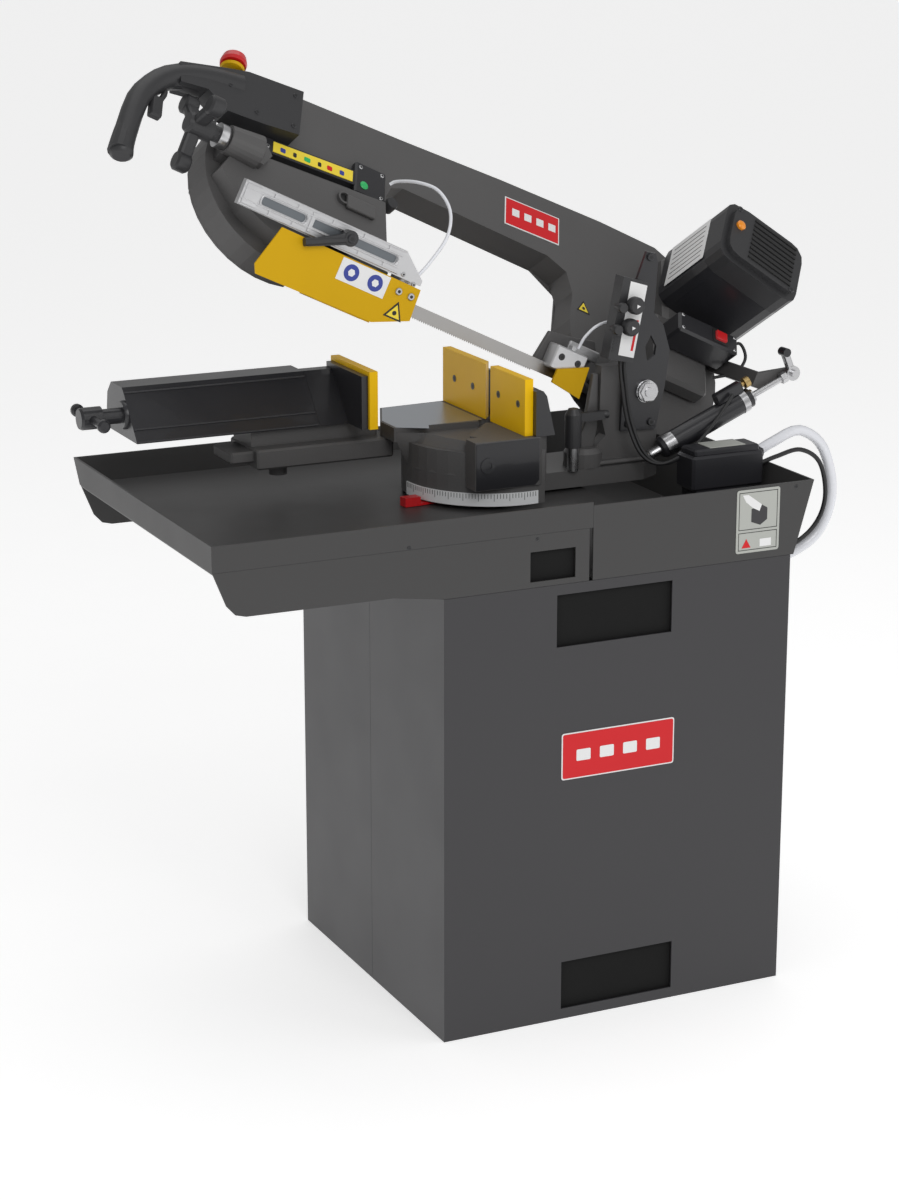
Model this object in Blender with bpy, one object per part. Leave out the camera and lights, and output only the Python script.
"""Manual mitre band saw on a cabinet stand, as an assembly of separate sub-parts.

World frame: metres, +Z up, origin on the floor under the middle of the cabinet. +X points to the
hinge and motor end, -Y to the operator. All sizes below are millimetres and are scaled once, where a
solid becomes an object. Pieces on the saw head are modelled in the head's own frames:
  head_pivot  origin on the head's hinge, x to the rear and z up when the blade is level;
  bow_plane   origin on the blade line, tilted so that its y axis is normal to the wheels.
"""
import math

import bmesh
import bpy
from mathutils import Matrix, Vector

MM = 0.001
GAP = 0.3                        # clearance between pieces that touch

# Driving dimensions
CABINET_X = 294.5                # half width
CABINET_Y = 269.0                # half depth
CABINET_TOP = 700.0
SHEET = 3.0
TRAY_FLOOR = 781.3
RIM_TOP = 820.0
SUMP_RIM = 815.0
BED_TOP = 894.0
MITRE_X = -92.3                  # vertical mitre axis, also the face of the fixed jaw
TURNTABLE_R = 134.5
HINGE = (157.0, 0.0, 928.0)      # head hinge, along Y
REST_TILT = 25.7                 # degrees, nose up at rest
BLADE_DROP = 30.3                # blade line under the hinge
BOW_LEAN = 40.0                  # degrees between the wheels' axes and the horizontal
WHEEL_R = 115.0
BLADE_R = 116.0
FRONT_WHEEL = (-640.0, 116.0)    # x, z in the bow plane
REAR_WHEEL = (45.0, 116.0)
WHEEL_Y = 22.0                   # middle of the wheels, behind the bow's face
BLADE_WIDTH = 19.0
BLADE_THICK = 0.9
JAW_PLATE = 13.7
VISE_OPEN = 182.0
SCREW_Y = 120.0                  # vise screw
SCREW_Z = 930.0
HOSE_R = 8.5


# Looks
def look(name, colour, roughness, metallic=0.0):
    made = bpy.data.materials.new(name)
    made.use_nodes = True
    shader = made.node_tree.nodes["Principled BSDF"]
    shader.inputs["Base Color"].default_value = (*colour, 1.0)
    shader.inputs["Roughness"].default_value = roughness
    shader.inputs["Metallic"].default_value = metallic
    made.diffuse_color = (*colour, 1.0)
    return made


for leftover in list(bpy.data.objects):
    bpy.data.objects.remove(leftover)

CASTING = look("casting_grey", (0.085, 0.085, 0.085), 0.55)
SHEET_GREY = look("cabinet_grey", (0.06, 0.058, 0.062), 0.5)
TRAY_GREY = look("tray_grey", (0.065, 0.065, 0.065), 0.5)
BLACK = look("black_paint", (0.02, 0.02, 0.022), 0.4)
PLASTIC = look("black_plastic", (0.02, 0.02, 0.02), 0.45)
YELLOW = look("guard_yellow", (0.83, 0.53, 0.0), 0.45)
STEEL = look("bright_steel", (0.62, 0.62, 0.62), 0.3, 1.0)
ALUMINIUM = look("cast_aluminium", (0.6, 0.6, 0.6), 0.4, 1.0)
BRASS = look("brass", (0.6, 0.45, 0.2), 0.35, 1.0)
RED = look("red", (0.6, 0.02, 0.02), 0.4)
WHITE = look("white", (0.75, 0.75, 0.75), 0.5)
HOSE = look("clear_hose", (0.75, 0.77, 0.8), 0.25)


# Solids: every helper returns an object in millimetre coordinates, still without a name of its own
def solid(shape):
    bmesh.ops.recalc_face_normals(shape, faces=shape.faces)
    data = bpy.data.meshes.new("solid")
    shape.to_mesh(data)
    shape.free()
    made = bpy.data.objects.new("solid", data)
    bpy.context.collection.objects.link(made)
    return made


AXES = {
    "x": Matrix(((0, 0, 1), (1, 0, 0), (0, 1, 0))),
    "y": Matrix(((1, 0, 0), (0, 0, 1), (0, 1, 0))),
    "z": Matrix(((1, 0, 0), (0, 1, 0), (0, 0, 1))),
}


def prism(outline, low, high, axis="z"):
    """Extrudes an outline; its two coordinates are (y, z), (x, z) or (x, y) for axis x, y or z."""
    turn = AXES[axis]
    shape = bmesh.new()
    base = [shape.verts.new(turn @ Vector((u, v, low))) for u, v in outline]
    top = [shape.verts.new(turn @ Vector((u, v, high))) for u, v in outline]
    shape.faces.new(base)
    shape.faces.new(top)
    for i in range(len(outline)):
        j = (i + 1) % len(outline)
        shape.faces.new((base[i], base[j], top[j], top[i]))
    return solid(shape)


def block(low, high, bevel=0.0, segments=1):
    shape = bmesh.new()
    bmesh.ops.create_cube(shape, size=1.0)
    size = Vector(high) - Vector(low)
    for vert in shape.verts:
        vert.co = Vector(low) + Vector((vert.co[i] + 0.5) * size[i] for i in range(3))
    if bevel:
        bmesh.ops.bevel(
            shape, geom=shape.edges[:], offset=bevel, segments=segments, affect="EDGES", profile=0.5
        )
    return solid(shape)


def turned(profile, axis, centre, sides=32):
    """Turns a closed profile of (radius, position along the axis) round an axis through centre."""
    turn = AXES[axis]
    shape = bmesh.new()
    rings = []
    for radius, along in profile:
        if radius == 0:
            rings.append([shape.verts.new(turn @ Vector((0, 0, along)) + Vector(centre))] * sides)
            continue
        ring = []
        for i in range(sides):
            angle = 2 * math.pi * (i + 0.5) / sides
            point = Vector((radius * math.cos(angle), radius * math.sin(angle), along))
            ring.append(shape.verts.new(turn @ point + Vector(centre)))
        rings.append(ring)
    for k in range(len(rings)):
        near, far = rings[k], rings[(k + 1) % len(rings)]
        if near[0] is near[1] and far[0] is far[1]:
            continue
        for i in range(sides):
            j = (i + 1) % sides
            corners = list(dict.fromkeys((near[i], near[j], far[j], far[i])))
            shape.faces.new(corners)
    return solid(shape)


def rod(axis, centre, radius, low, high, sides=24, chamfer=0.0):
    """A plain round bar from low to high along the axis, with optional chamfered ends."""
    if not chamfer:
        return turned([(0, low), (radius, low), (radius, high), (0, high)], axis, centre, sides)
    profile = [
        (0, low), (radius - chamfer, low), (radius, low + chamfer),
        (radius, high - chamfer), (radius - chamfer, high), (0, high),
    ]
    return turned(profile, axis, centre, sides)


def taper(low_rect, high_rect, low, high):
    """A box whose bottom and top rectangles (x0, y0, x1, y1) differ."""
    shape = bmesh.new()
    rings = []
    for (x0, y0, x1, y1), z in ((low_rect, low), (high_rect, high)):
        corners = ((x0, y0), (x1, y0), (x1, y1), (x0, y1))
        rings.append([shape.verts.new((x, y, z)) for x, y in corners])
    shape.faces.new(rings[0])
    shape.faces.new(rings[1])
    for i in range(4):
        j = (i + 1) % 4
        shape.faces.new((rings[0][i], rings[0][j], rings[1][j], rings[1][i]))
    return solid(shape)


def arc(centre, radius, start, end, steps):
    """Points on an arc, angles in degrees, both ends included."""
    points = []
    for i in range(steps + 1):
        angle = math.radians(start + (end - start) * i / steps)
        points.append((centre[0] + radius * math.cos(angle), centre[1] + radius * math.sin(angle)))
    return points


def rounded(corners, radius, steps=3):
    """An outline with every corner rounded by the same radius."""
    points = []
    for i, corner in enumerate(corners):
        here = Vector(corner)
        back = (Vector(corners[i - 1]) - here).normalized()
        ahead = (Vector(corners[(i + 1) % len(corners)]) - here).normalized()
        half = back.angle(ahead) / 2
        reach = radius / math.tan(half)
        start, end = here + back * reach, here + ahead * reach
        for k in range(steps + 1):
            t = k / steps
            points.append(tuple(start * (1 - t) ** 2 + here * 2 * t * (1 - t) + end * t * t))
    return points


def smooth_route(points, spacing):
    """Catmull-Rom points through a hand-placed route, about one per spacing."""
    knots = [Vector(p) for p in points]
    knots = [knots[0] * 2 - knots[1], *knots, knots[-1] * 2 - knots[-2]]
    route = []
    for a, b, c, d in zip(knots, knots[1:], knots[2:], knots[3:]):
        steps = max(1, round((c - b).length / spacing))
        for i in range(steps):
            t = i / steps
            route.append(0.5 * (
                2 * b + (c - a) * t + (2 * a - 5 * b + 4 * c - d) * t * t
                + (3 * b - a - 3 * c + d) * t ** 3
            ))
    route.append(knots[-2])
    return route


def sweep(route, radii, sides=12, flat=1.0):
    """A round solid along a route; radii holds one radius per point, flat squeezes it along y."""
    shape = bmesh.new()
    rings = []
    for i, here in enumerate(route):
        ahead = route[min(i + 1, len(route) - 1)] - route[max(i - 1, 0)]
        side = ahead.cross(Vector((0, 1, 0))).normalized()
        up = ahead.cross(side).normalized()
        ring = []
        for k in range(sides):
            angle = 2 * math.pi * k / sides
            ring.append(shape.verts.new(
                here + side * radii[i] * math.cos(angle) + up * radii[i] * flat * math.sin(angle)
            ))
        rings.append(ring)
    for near, far in zip(rings, rings[1:]):
        for k in range(sides):
            j = (k + 1) % sides
            shape.faces.new((near[k], near[j], far[j], far[k]))
    shape.faces.new(rings[0])
    shape.faces.new(rings[-1])
    return solid(shape)


def combine(first, second, operation):
    step = first.modifiers.new(operation.lower(), "BOOLEAN")
    step.operation = operation
    step.object = second
    step.solver = "EXACT"
    ready = first.evaluated_get(bpy.context.evaluated_depsgraph_get())
    data = bpy.data.meshes.new_from_object(ready)
    first.modifiers.clear()
    first.data = data
    bpy.data.objects.remove(second)
    return first


def joined(first, *others):
    for other in others:
        first = combine(first, other, "UNION")
    return first


def cut(first, *tools):
    for tool in tools:
        first = combine(first, tool, "DIFFERENCE")
    return first


def turn_solid(made, degrees, axis, centre):
    """Turns a solid about an axis through centre before it becomes a piece."""
    place = Matrix.Translation(centre)
    made.data.transform(place @ Matrix.Rotation(math.radians(degrees), 4, axis) @ place.inverted())
    return made


def piece(name, made, finish, parent=None, smooth=True):
    """Names a solid, scales it to metres, dresses it and hangs it on its frame."""
    made.name = name
    made.data.name = name
    made.data.transform(Matrix.Scale(MM, 4))
    made.data.materials.clear()
    made.data.materials.append(finish)
    if smooth:
        made.data.shade_smooth()
        made.data.set_sharp_from_angle(angle=math.radians(35))
    hang(made, parent)
    return made


def hang(made, parent, at=(0.0, 0.0, 0.0)):
    """Parents an object; under an empty that marks an axis it keeps the coordinates around it."""
    made.location = Vector(at) * MM
    if parent:
        made.parent = parent
        made.location -= Vector(parent.get("mark", (0.0, 0.0, 0.0))) * MM


def cord(name, route, radius, finish, parent=None):
    """A cord as a curve with a round bevel, a point every 2.5 diameters."""
    points = smooth_route(route, 5 * radius)
    data = bpy.data.curves.new(name, "CURVE")
    data.dimensions = "3D"
    data.bevel_depth = radius * MM
    data.bevel_resolution = 2
    data.use_fill_caps = True
    spline = data.splines.new("POLY")
    spline.points.add(len(points) - 1)
    for knot, point in zip(spline.points, points):
        knot.co = (*(point * MM), 1.0)
    made = bpy.data.objects.new(name, data)
    bpy.context.collection.objects.link(made)
    data.materials.append(finish)
    hang(made, parent)
    return made


def frame(name, at, parent=None, turn=None):
    """An empty. Without a turn it only marks a joint's axis, and its pieces keep its parent's frame."""
    made = bpy.data.objects.new(name, None)
    bpy.context.collection.objects.link(made)
    made.empty_display_size = 0.05
    hang(made, parent, at)
    if turn:
        made.rotation_euler["xyz".index(turn[0])] = math.radians(turn[1])
    else:
        made["mark"] = at
    return made


# Stand: cabinet, trays and bed
def cabinet():
    inner_x, inner_y = CABINET_X - SHEET, CABINET_Y - SHEET
    for name, side in (("cabinet_front_shell", -1), ("cabinet_rear_shell", 1)):
        outline = [
            (-CABINET_X, side * GAP), (-CABINET_X, side * CABINET_Y), (CABINET_X, side * CABINET_Y),
            (CABINET_X, side * GAP), (inner_x, side * GAP), (inner_x, side * inner_y),
            (-inner_x, side * inner_y), (-inner_x, side * GAP),
        ]
        shell = prism(outline, 0, CABINET_TOP)
        if side < 0:
            upper_slot = block((-109, -280, 603), (87, -250, 684))
            lower_slot = block((-95, -280, 17), (100, -250, 95))
            shell = cut(shell, upper_slot, lower_slot)
        piece(name, shell, SHEET_GREY)
    reach_x, reach_y = inner_x - GAP, inner_y - GAP
    piece("cabinet_base", block((-reach_x, -reach_y, 0), (reach_x, reach_y, SHEET)), SHEET_GREY)


def tray_base():
    skirt = [
        (-651, 781), (-631, 731), (-618, 717), (-602, 713), (-375, 712), (-294, 700.5),
        (-56, 700.5), (-56, 781),
    ]
    frame_box = prism(skirt, -CABINET_Y, 314, "y")
    inside = block((-700, -CABINET_Y + SHEET, 703.5), (-59, 311, 778))
    open_end = block((-700, -CABINET_Y + SHEET, 690), (-291, 311, 777))
    slot = block((-154, -280, 709), (-79, -250, 755))
    piece("tray_base", cut(frame_box, inside, open_end, slot), TRAY_GREY)


def chip_tray():
    deck = TRAY_FLOOR + SHEET
    section = [
        (-CABINET_Y, TRAY_FLOOR), (314, TRAY_FLOOR), (341, RIM_TOP), (338, RIM_TOP),
        (311, deck), (-CABINET_Y + SHEET, deck), (-CABINET_Y + SHEET, RIM_TOP),
        (-CABINET_Y, RIM_TOP),
    ]
    end = [(-CABINET_Y, TRAY_FLOOR), (314, TRAY_FLOOR), (341, RIM_TOP), (-CABINET_Y, RIM_TOP)]
    tray = prism(section, -650, -50, "x")
    lip = prism(end, -652, -648, "x")
    tongue = block((-60, -263, TRAY_FLOOR), (48, 305, deck))
    piece("chip_tray", joined(tray, lip, tongue), TRAY_GREY)


def sump_pan():
    outer = taper((-49.7, -CABINET_Y, 300, 300), (-49.7, -CABINET_Y, 333, 341), 700.5, SUMP_RIM)
    inner = taper((-60, -266, 297, 297), (-60, -266, 330.3, 338.3), 703.5, SUMP_RIM + 0.5)
    piece("sump_pan", cut(outer, inner), TRAY_GREY)


def saw_bed():
    table = [
        (-60, 165), (-206, 155), (-246, 64), (-246, 12), (-200, -14), (-186, -60), (-150, -112),
        (-92, -128), (-50, -116), (-44, -60), (-44, 60),
    ]
    top = prism(table, 872, BED_TOP)
    outer = [(p[0] + MITRE_X, p[1]) for p in arc((0, 0), TURNTABLE_R, 84, 284, 24)]
    inner = [(p[0] + MITRE_X, p[1]) for p in arc((0, 0), TURNTABLE_R - 9, 284, 84, 24)]
    wall = prism(outer + inner, 790, 873)
    foot = prism([(-212, 30), (-190, 96), (-170, 84), (-192, 30)], TRAY_FLOOR + SHEET + GAP, 800)
    block_plan = [(-180, -100), (-180, -137), (-72, -137), (-52, -120), (-52, -100)]
    jaw_block = prism(block_plan, 820, BED_TOP)
    jaw_block = cut(jaw_block, rod("y", (-160, 0, 858), 6, -150, -125, 16))
    bed = joined(top, wall, foot, jaw_block)
    # Two fans let the blade sink below the table at any mitre from 0 to 45 degrees
    for start in (176, -4):
        fan = [(MITRE_X, 0)] + [(p[0] + MITRE_X, p[1]) for p in arc((0, 0), 190, start, start + 54, 9)]
        bed = cut(bed, prism(fan, BED_TOP - 9, BED_TOP + 5))
    pin_hole = rod("z", (MITRE_X, 0, 0), 15.4, 860, 900, 24)
    piece("saw_bed", cut(bed, pin_hole), CASTING)
    pin = rod("z", (MITRE_X, 0, 0), 15, TRAY_FLOOR + SHEET + GAP, 884, 24)
    piece("mitre_pin", pin, STEEL)


def degree_scale():
    outer = arc((MITRE_X, 0), TURNTABLE_R + 2.3, 178, 278, 20)
    inner = arc((MITRE_X, 0), TURNTABLE_R + GAP, 278, 178, 20)
    piece("degree_scale", prism(outer + inner, 791, 811), WHITE)


def vise_bed():
    arm = block((-457, 46, 841), (-231, 160, 871.7), 3)
    rail = block((-455, 76, 860), (-246.4, 150, 894))
    stub = rod("z", (-401, 104, 0), 14, 819, 850)
    lug = block((-493, 62, 850), (-450, 140, 868), 3)
    piece("vise_bed", joined(arm, rail, stub, lug), CASTING)


def fixed_jaw():
    back = MITRE_X + JAW_PLATE + GAP
    side = [(back, BED_TOP + GAP), (-46, BED_TOP + GAP), (-60, 955), (-66, 963), (back, 963)]
    upright = prism(side, -136, -117, "y")
    near = joined(upright, block((back, -117.5, BED_TOP + GAP), (back + 15, -14, 963), 2))
    piece("fixed_jaw_near", near, BLACK)
    far = joined(
        block((back, 34, BED_TOP + GAP), (back + 14, 160, 965), 2),
        block((back + 2, 138, BED_TOP + GAP), (-36, 160, 930), 2),
    )
    piece("fixed_jaw_far", far, BLACK)
    for name, start, end, slope in (("jaw_plate_near", -126, -8, 0), ("jaw_plate_far", 8, 163, 18)):
        outline = [(MITRE_X, start), (MITRE_X + JAW_PLATE, start + slope),
                   (MITRE_X + JAW_PLATE, end), (MITRE_X, end)]
        plate = prism(outline, BED_TOP + GAP, 981)
        piece(name, plate, YELLOW)


# Vise: everything here slides along X
def vise():
    slide = frame("vise_axis", (-460, 130, 930))
    # The near side slopes back, so that the front wheel housing comes down beside it
    profile = [(66, 896), (196, 896), (203, 926), (198, 952), (180, 970), (130, 970), (122, 963)]
    cover = prism(profile, -640, -346, "x")
    piece("vise_slide", cover, BLACK, slide)
    face = block((-298.5, 14, 896), (-288.3, 150, 978))
    rib = prism([(66, 896), (150, 896), (150, 970), (130, 970), (122, 963)], -345.7, -298, "x")
    piece("moving_jaw", joined(face, rib), BLACK, slide)
    front = MITRE_X - VISE_OPEN
    piece("moving_jaw_plate", block((front - JAW_PLATE, 8, 896), (front, 157, 985)), YELLOW, slide)
    screw_axis = frame("screw_axis", (-690, SCREW_Y, SCREW_Z), slide)
    screw = turned(
        [(0, -712), (15, -712), (17, -708), (17, -678), (12, -676), (12, -640.3), (0, -640.3)],
        "x", (0, SCREW_Y, SCREW_Z), 24,
    )
    crank_hole = rod("y", (-694, 0, SCREW_Z), 6.4, SCREW_Y - 30, SCREW_Y + 30, 16)
    piece("vise_screw", cut(screw, crank_hole), BLACK, screw_axis)
    near, far = SCREW_Y - 58, SCREW_Y + 58
    bar = joined(
        rod("y", (-694, 0, SCREW_Z), 6, near, far, 16),
        rod("y", (-694, 0, SCREW_Z), 10, near - 10, near + 2, 16, 3),
        rod("y", (-694, 0, SCREW_Z), 10, far - 2, far + 10, 16, 3),
    )
    piece("crank_bar", bar, BLACK, screw_axis)


def coolant_pump():
    body = joined(
        block((188, -150, 783), (316, -96, 838), 4),
        block((198, -146, 700.5 + SHEET + GAP), (290, -100, 790)),
        block((194, -146, 836), (310, -100, 848), 3),
    )
    piece("coolant_pump", body, PLASTIC)
    route = [(318.5, -122, 829), (350, -122, 843), (398, -120, 856), (446, -116, 822),
             (468, -112, 745), (444, -108, 678), (378, -106, 645), (325, -106, 638), (295.6, -106, 638)]
    cord("pump_hose", route, HOSE_R, HOSE)


# Swing arm: turns with the head about the mitre axis
def swing_arm(mitre):
    outline = arc((MITRE_X, 0), 72, 60, 300, 16) + [(30, -62), (150, -62), (185, -40), (185, 40),
                                                    (150, 62), (30, 62)]
    slab = cut(prism(outline, 789, 816), rod("z", (MITRE_X, 0, 0), 15.4, 780, 830))
    piece("swing_arm", slab, CASTING, mitre)
    side = [
        (26, 816.3), (179, 816.3), (181, 866), (186, 920), (176, 955), (158, 968), (120, 972),
        (81, 972), (79, 904), (90, 862), (72, 845), (30, 838),
    ]
    neck = prism(side, -45.7, -24, "y")
    foot = joined(
        block((60, -58, 816.3), (172, 14, 824), 3), turned(
            [(0, 816.3), (30, 816.3), (30, 838), (24, 846), (0, 846)], "z", (56, -34, 0), 24),
    )
    column = cut(joined(foot, neck), rod("y", (HINGE[0], 0, HINGE[2]), 11.4, -60, 0))
    piece("column", column, CASTING, mitre)
    plate_side = [
        (113, 868), (175, 866), (190, 930), (198, 990), (186, 1030), (169, 1050), (174, 1129),
        (170, 1143), (154, 1147), (136, 1101), (118, 980),
    ]
    plate = prism(plate_side, -52, -46, "y")
    slot = prism([(158, 975), (172, 984), (174, 998), (164, 1016), (154, 998)], -60, -40, "y")
    plate = cut(plate, slot, rod("y", (HINGE[0], 0, HINGE[2]), 11.4, -60, -40))
    piece("bracket_plate", plate, BLACK, mitre)
    pin = turned(
        [(0, -66), (8, -66), (8, -62), (17, -60), (17, -52.3), (11, -52.3), (11, 6), (0, 6)],
        "y", (HINGE[0], 0, HINGE[2]), 24,
    )
    piece("hinge_pin", pin, STEEL, mitre)
    pointer = prism([(-177, -117), (-165, -129), (-184, -147), (-196, -135)], 785.2, 799)
    arm_link = prism([(-115, -20), (-92, -45), (-168, -133), (-184, -122)], 785.2, 788.7)
    pointer = turn_solid(joined(pointer, arm_link), -40, "Z", (MITRE_X, 0, 0))
    piece("angle_pointer", pointer, RED, mitre)
    post = frame("lock_axis", (24, -62, 880), mitre)
    lever = joined(
        turned([(0, 853), (13, 853), (13, 905), (8, 914), (0, 916)], "z", (24, -62, 0), 20),
        prism([(20, -68), (78, -67), (80, -62), (78, -57), (20, -56)], 893, 906),
    )
    piece("lock_lever", lever, PLASTIC, post)
    piece("lock_post", rod("z", (24, -62, 0), 9, 816.3, 852.7), STEEL, mitre)


def flow_control(mitre):
    side = [(100, 1116), (143, 1103), (118, 980), (75, 990)]
    piece("flow_control_box", prism(side, -78, -52.3, "y"), PLASTIC, mitre)
    for name, x, z, radius in (("flow_knob", 114, 1072, 13), ("return_knob", 106, 1039, 13)):
        axis = frame(name + "_axis", (x, -90, z), mitre)
        profile = [(0, -100), (radius - 2, -100), (radius, -97), (radius, -84), (7, -82), (7, -78.3),
                   (0, -78.3)]
        piece(name, turned(profile, "y", (x, 0, z), 24), PLASTIC, axis)


# Feed damper: its barrel swings on the arm and its rod runs out as the head comes down
DAMPER_FOOT = (160.0, -70.0, 831.0)
DAMPER_ANGLE = 23.0
ROD_EYE = 273.8


def damper(mitre):
    foot_x, foot_y, foot_z = DAMPER_FOOT
    barrel_axis = frame("damper_axis", DAMPER_FOOT, mitre)
    profile = [(0, -6), (7, -6), (8, 14), (15, 16), (18, 22), (18, 178), (16, 181), (16, 190),
               (5.5, 190), (5.5, 95), (0, 95)]
    barrel = turned([(r, foot_x + t) for r, t in profile], "x", (0, foot_y, foot_z), 32)
    valve = block((foot_x + 132, foot_y - 8, foot_z + 16), (foot_x + 182, foot_y + 8, foot_z + 34), 2)
    barrel = turn_solid(joined(barrel, valve), -DAMPER_ANGLE, "Y", DAMPER_FOOT)
    piece("damper_barrel", barrel, BLACK, barrel_axis)
    knob_from = foot_x + 182.3
    knob = turned([(0, knob_from), (4, knob_from), (4, knob_from + 5), (9, knob_from + 6),
                   (9, knob_from + 15), (0, knob_from + 15)], "x", (0, foot_y, foot_z + 26), 20)
    knob_axis = frame("valve_axis", DAMPER_FOOT, barrel_axis)
    piece("valve_knob", turn_solid(knob, -DAMPER_ANGLE, "Y", DAMPER_FOOT), BRASS, knob_axis)
    rod_axis = frame("rod_axis", DAMPER_FOOT, barrel_axis)
    bar = rod("x", (0, foot_y, foot_z), 5, foot_x + 112, foot_x + ROD_EYE - 8, 20)
    eye = rod("y", (foot_x + ROD_EYE, 0, foot_z), 12, foot_y - 6, foot_y + 6, 24)
    link = block((foot_x + ROD_EYE - 6, foot_y - 5, foot_z), (foot_x + ROD_EYE + 6, foot_y + 5,
                                                             foot_z + 38), 2)
    shaft = turn_solid(joined(bar, eye, link), -DAMPER_ANGLE, "Y", DAMPER_FOOT)
    piece("damper_rod", shaft, STEEL, rod_axis)


# Saw head
def to_bow(made):
    """Takes a solid made in the head_pivot frame over to the bow_plane frame."""
    place = Matrix.Rotation(math.radians(BOW_LEAN), 4, "X") @ Matrix.Translation((0, 0, BLADE_DROP))
    made.data.transform(place)
    return made


FRONT_R = 138.0
REAR_R = 150.0
BOW_DEEP = 46.0
BOW_WALL = 6.0


def bow_frame(bow):
    outline = (
        arc(REAR_WHEEL, REAR_R, 180, 390, 22)
        + [(140, 280), (110, 322), (71, 338), (-44, 338), (-245, 327), (-438, 312), (-631, 300),
           (-690, 285)]
        + arc(FRONT_WHEEL, FRONT_R, 120, 286, 20)
        + [(-596, 14), (-460, 14), (-460, 190), (-452, 210), (-430, 220), (-150, 220), (-112, 205),
           (-100, 170)]
    )
    shell = prism(outline, 0, BOW_DEEP, "y")
    front_pocket = prism(
        [p for p in arc(FRONT_WHEEL, FRONT_R - BOW_WALL, 0, 357, 34) if p[0] < -466], 5, 60, "y"
    )
    rear_pocket = prism(arc(REAR_WHEEL, REAR_R - BOW_WALL, 0, 350, 35), 5, 60, "y")
    beam_pocket = prism([(-640, 226), (45, 226), (60, 262), (60, 325), (-44, 330), (-640, 292)], 5, 60, "y")
    blade_out = block((-600, -4, -60), (-520, 60, 13))
    blade_in = block((-110, -4, -18), (20, 60, 16))
    shell = cut(shell, front_pocket, rear_pocket, beam_pocket, blade_out, blade_in)
    # Raised bulge of the front housing and the boss for the tension screw
    bulge = prism([(-766, 80), (-742, 128), (-480, 150), (-470, 20), (-600, 14), (-640, -12),
                   (-722, 30)], -30, 0.5, "y")
    boss = turned([(0, -764), (22, -764), (27, -712), (0, -700)], "x", (0, -36, 127), 24)
    web = prism([(-764, 112), (-704, 104), (-690, 127), (-704, 148), (-764, 142)], -44, 0.5, "y")
    screw_bore = rod("x", (0, -36, 127), 9, -770, -715, 20)
    lug = cut(to_bow(rod("y", (0, 0, 0), 34, -23.7, 60, 32)), block((-80, 4, -80), (80, 200, 200)))
    outrigger = to_bow(block((172, -61, 75), (192, 92, 100), 2))
    arm = to_bow(prism([(172, 76), (172, 96), (236, 132), (243, 118), (192, 76)], -61, -50, "y"))
    pad = to_bow(block((-602, -29.7, 12), (-538, 80, 42)))
    pad = cut(pad, block((-700, 4, -100), (-400, 200, 300)))
    shell = joined(shell, bulge, boss, web, lug, outrigger, arm, pad)
    hinge_bore = to_bow(rod("y", (0, 0, 0), 11.4, -30, 8, 24))
    piece("bow_frame", cut(shell, screw_bore, hinge_bore), CASTING, bow)


def blade_cover(bow):
    outline = (
        arc(REAR_WHEEL, REAR_R, 180, 390, 18)
        + [(140, 280), (110, 322), (71, 338), (-44, 338), (-438, 312), (-690, 285)]
        + arc(FRONT_WHEEL, FRONT_R, 120, 286, 16)
        + [(-596, 14), (-460, 14), (-460, 210), (-430, 220), (-150, 220), (-100, 190)]
    )
    low = BOW_DEEP + GAP
    piece("blade_cover", prism(outline, low, low + 4, "y"), TRAY_GREY, bow)


def wheel(name, centre, bow):
    axis = frame(name + "_axis", (centre[0], WHEEL_Y, centre[1]), bow)
    low, high = WHEEL_Y - 11, WHEEL_Y + 11
    profile = [(11, low), (24, low), (24, low + 6), (98, low + 7), (98, low), (WHEEL_R, low),
               (WHEEL_R, high), (98, high), (98, high - 7), (24, high - 6), (24, high), (11, high)]
    piece(name, turned(profile, "y", (centre[0], 0, centre[1]), 40), CASTING, axis)
    return axis


def saw_blade(bow):
    """One closed band: round both wheels, and twisted upright along the free lower run."""
    lean = math.radians(BOW_LEAN)
    upright = Vector((0, -math.sin(lean), math.cos(lean)))
    flat = Vector((0, 1, 0))
    stations = []
    for centre, start in ((REAR_WHEEL, -90), (FRONT_WHEEL, 90)):
        for x, z in arc(centre, BLADE_R, start, start + 180, 20):
            out = Vector((x - centre[0], 0, z - centre[1])).normalized()
            stations.append((Vector((x, WHEEL_Y, z)), flat, out))
    ends = {-600.0: 0.0, -570.0: 0.25, -535.0: 0.65, -500.0: 1.0, -90.0: 1.0, -50.0: 0.65,
            -15.0: 0.3, 15.0: 0.05}
    for x, share in ends.items():
        angle = (math.pi / 2 + lean) * share
        width = flat * math.cos(angle) + Vector((0, 0, 1)) * math.sin(angle)
        if share == 1.0:
            width = upright
        out = Vector((1, 0, 0)).cross(width)
        stations.append((Vector((x, WHEEL_Y * (1 - share), 0)), width, out))
    shape = bmesh.new()
    rings = []
    for place, width, out in stations:
        across, through = width * BLADE_WIDTH / 2, out * BLADE_THICK / 2
        corners = (across + through, through - across, -across - through, across - through)
        rings.append([shape.verts.new(place + corner) for corner in corners])
    for i, near in enumerate(rings):
        far = rings[(i + 1) % len(rings)]
        for k in range(4):
            j = (k + 1) % 4
            shape.faces.new((near[k], near[j], far[j], far[k]))
    piece("saw_blade", solid(shape), STEEL, bow)


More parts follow.
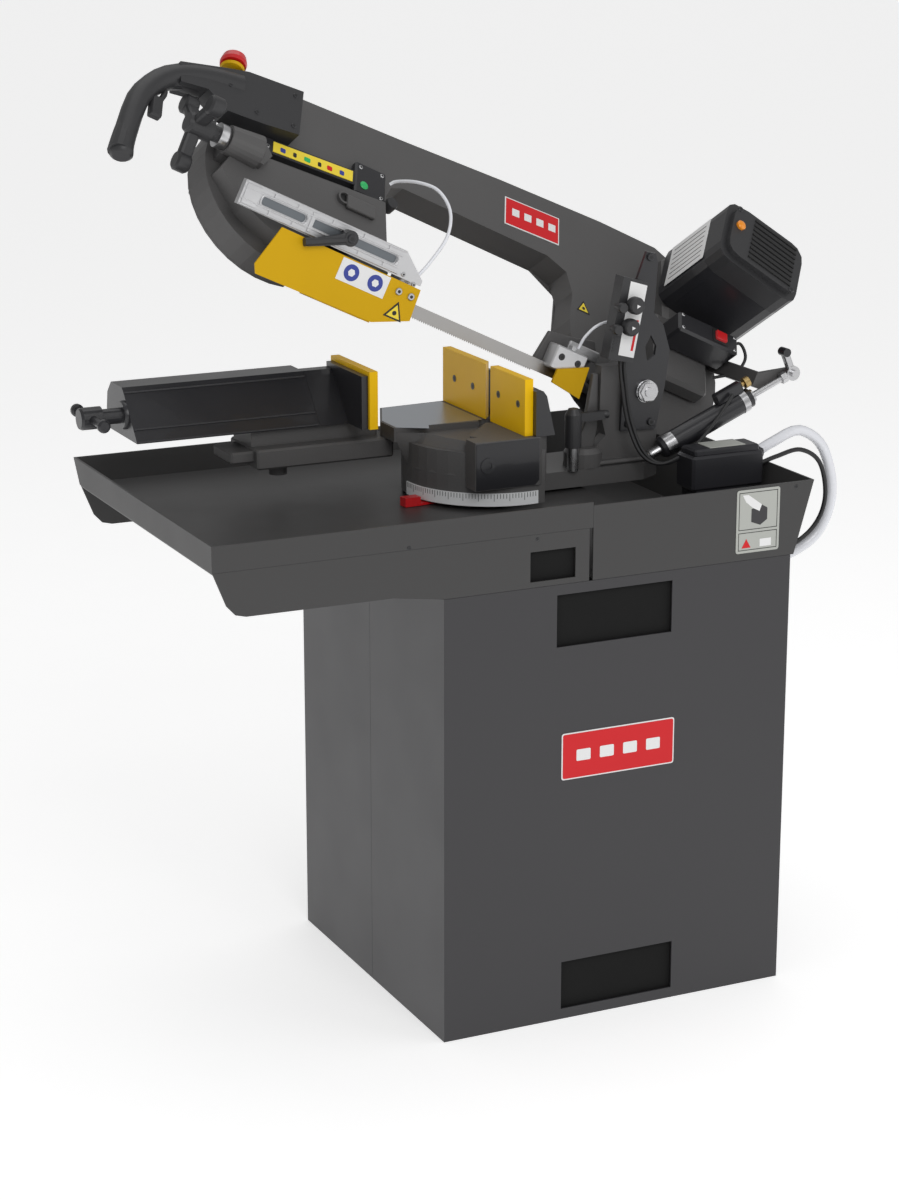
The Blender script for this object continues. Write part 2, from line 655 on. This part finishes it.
def tension(bow):
    slide = frame("tension_axis", (-640, -36, 127), bow)
    axle = rod("y", (FRONT_WHEEL[0], 0, FRONT_WHEEL[1]), 10.6, 6, 42, 24)
    piece("front_axle", axle, STEEL, slide)
    idler = wheel("front_wheel", FRONT_WHEEL, slide)
    knob_axis = frame("knob_axis", (-800, -36, 127), bow)
    hub = turned([(0, -832), (14, -832), (17, -826), (17, -792), (12, -790), (12, -770), (8, -768),
                  (8, -722), (0, -722)], "x", (0, -36, 127), 24)
    arms = []
    for angle in (95, 215, 335):
        arm = block((-828, -44, 135), (-806, -28, 188), 5, 2)
        arms.append(turn_solid(arm, angle, "X", (0, -36, 127)))
    piece("tension_knob", joined(hub, *arms), PLASTIC, knob_axis)
    return idler


def handle(bow):
    cover_side = [(-641, 198), (-638, 283), (-734, 272), (-777, 258), (-850, 232), (-846, 196),
                  (-800, 205), (-765, 182), (-741, 184), (-704, 188)]
    cover = prism(cover_side, -34, -0.3, "y")
    grip_route = smooth_route([(-800, -17, 226), (-834, -17, 216), (-879, -17, 187), (-904, -17, 145),
                               (-917, -17, 88), (-925, -17, 36)], 14)
    ends = len(grip_route) - 1
    radii = [15.5 + 2.0 * math.cos(2 * math.pi * i / ends) for i in range(ends + 1)]
    grip = sweep(grip_route, radii, 14)
    body = joined(cover, grip)
    slot = block((-893, -24, 122), (-868, -10, 164))
    body = cut(body, slot)
    piece("handle", body, PLASTIC, bow)
    trigger_axis = frame("trigger_axis", (-880, -17, 143), bow)
    piece("trigger", block((-885, -23, 124), (-866, -11, 162), 2), PLASTIC, trigger_axis)
    stop_axis = frame("stop_axis", (-748, -17, 284), bow)
    collar = turned([(0, 275), (17, 275), (19, 279), (12, 281), (0, 281)], "z", (-755, -17, 0), 24)
    button = turned([(0, 284), (20, 284), (21, 290), (18, 301), (0, 305)], "z", (-755, -17, 0), 28)
    piece("stop_collar", turn_solid(collar, 6, "Y", (-755, -17, 270)), YELLOW, bow)
    piece("stop_button", turn_solid(button, 6, "Y", (-755, -17, 270)), RED, stop_axis)


def control_strip(bow):
    body = joined(
        prism(rounded([(-688, 160), (-688, 186), (-520, 200), (-520, 174)], 5), -12, -0.3, "y"),
        block((-526, -14, 160), (-470, -0.3, 220), 3),
    )
    piece("control_strip", body, BLACK, bow)


def drive(bow):
    case = joined(
        block((42, -34, 56), (150, -0.3, 178), 6),
        block((62, -34.5, 166), (200, -0.3, 300), 8),
    )
    piece("gearbox", case, CASTING, bow)
    turn = 13
    centre = (135, 0, 243)
    corners = [(55, 182), (215, 182), (215, 304), (55, 304)]
    body = turn_solid(prism(rounded(corners, 26), -150, -34.8, "y"), turn, "Y", centre)
    piece("motor_body", body, BLACK, bow)
    cap = joined(prism(rounded(corners, 26), -190, -150.3, "y"),
                 prism(rounded([(65, 192), (205, 192), (205, 294), (65, 294)], 24), -200, -189, "y"))
    piece("motor_cap", turn_solid(cap, turn, "Y", centre), PLASTIC, bow)
    box = block((46, -90, 112), (168, -34.8, 149), 4)
    rocker_hole = block((118, -96, 122), (142, -82, 141))
    piece("switch_box", cut(box, rocker_hole), BLACK, bow)
    rocker = frame("rocker_axis", (130, -90, 131.5), bow)
    piece("power_rocker", block((119, -94, 123), (141, -86, 140), 1.5), RED, rocker)
    shaft = turned([(0, 6), (10.6, 6), (10.6, 40), (0, 40)], "y", (REAR_WHEEL[0], 0, REAR_WHEEL[1]), 24)
    axis = wheel("rear_wheel", REAR_WHEEL, bow)
    piece("drive_shaft", shaft, STEEL, axis)


def rear_guide(head):
    body = cut(
        block((-160, -24, -26), (-102, 8, 12), 2),
        block((-200, -1.2, -60), (-60, 1.2, -19)),
    )
    post = block((-128, 2.5, 8), (-70, 18, 26), 2)
    piece("rear_guide", joined(body, post), ALUMINIUM, head)
    guard = prism([(-148, -46), (-148, -24), (-97, -2), (-92, -53)], -29, -24.3, "y")
    piece("rear_guard", guard, YELLOW, head)


def guide_arm(head):
    slide = frame("guide_axis", (-590, -32, 27), head)
    outline = [(-750, 8), (-750, 46), (-470, 46), (-428, 14), (-428, 6), (-470, 6)]
    arm = prism(outline, -42, -30, "y")
    slots = (
        prism(rounded([(-716, 20), (-716, 34), (-640, 34), (-640, 20)], 6), -50, -38, "y"),
        prism(rounded([(-630, 20), (-630, 34), (-480, 34), (-480, 20)], 6), -50, -38, "y"),
    )
    holder = block((-458, -30.5, -26), (-430, 6, 14), 2)
    blade_slot = block((-520, -1.2, -60), (-400, 1.2, -19))
    piece("guide_arm", cut(joined(cut(arm, *slots), holder), blade_slot), ALUMINIUM, slide)
    side = [(-674, 3), (-692, -61), (-685, -74), (-484, -72), (-426, -48), (-429, 1)]
    guard = joined(prism(side, -50, -47, "y"), block((-585, -48, -74), (-486, 4, -71)))
    piece("front_guard", guard, YELLOW, slide)
    lever_axis = frame("clamp_axis", (-570, -46, 28), slide)
    lever = joined(
        rod("y", (-570, 0, 28), 12, -60, -42.3, 20, 2),
        prism([(-572, 36), (-566, 20), (-630, -8), (-638, -1)], -59, -51, "y"),
    )
    piece("clamp_lever", lever, PLASTIC, lever_axis)


def build():
    cabinet()
    tray_base()
    chip_tray()
    sump_pan()
    saw_bed()
    degree_scale()
    vise_bed()
    fixed_jaw()
    vise()
    coolant_pump()
    mitre = frame("mitre_axis", (MITRE_X, 0, 0))
    swing_arm(mitre)
    flow_control(mitre)
    damper(mitre)
    head = frame("head_pivot", HINGE, mitre, ("y", REST_TILT))
    bow = frame("bow_plane", (0, 0, -BLADE_DROP), head, ("x", -BOW_LEAN))
    bow_frame(bow)
    blade_cover(bow)
    saw_blade(bow)
    tension(bow)
    handle(bow)
    control_strip(bow)
    drive(bow)
    rear_guide(head)
    guide_arm(head)


build()
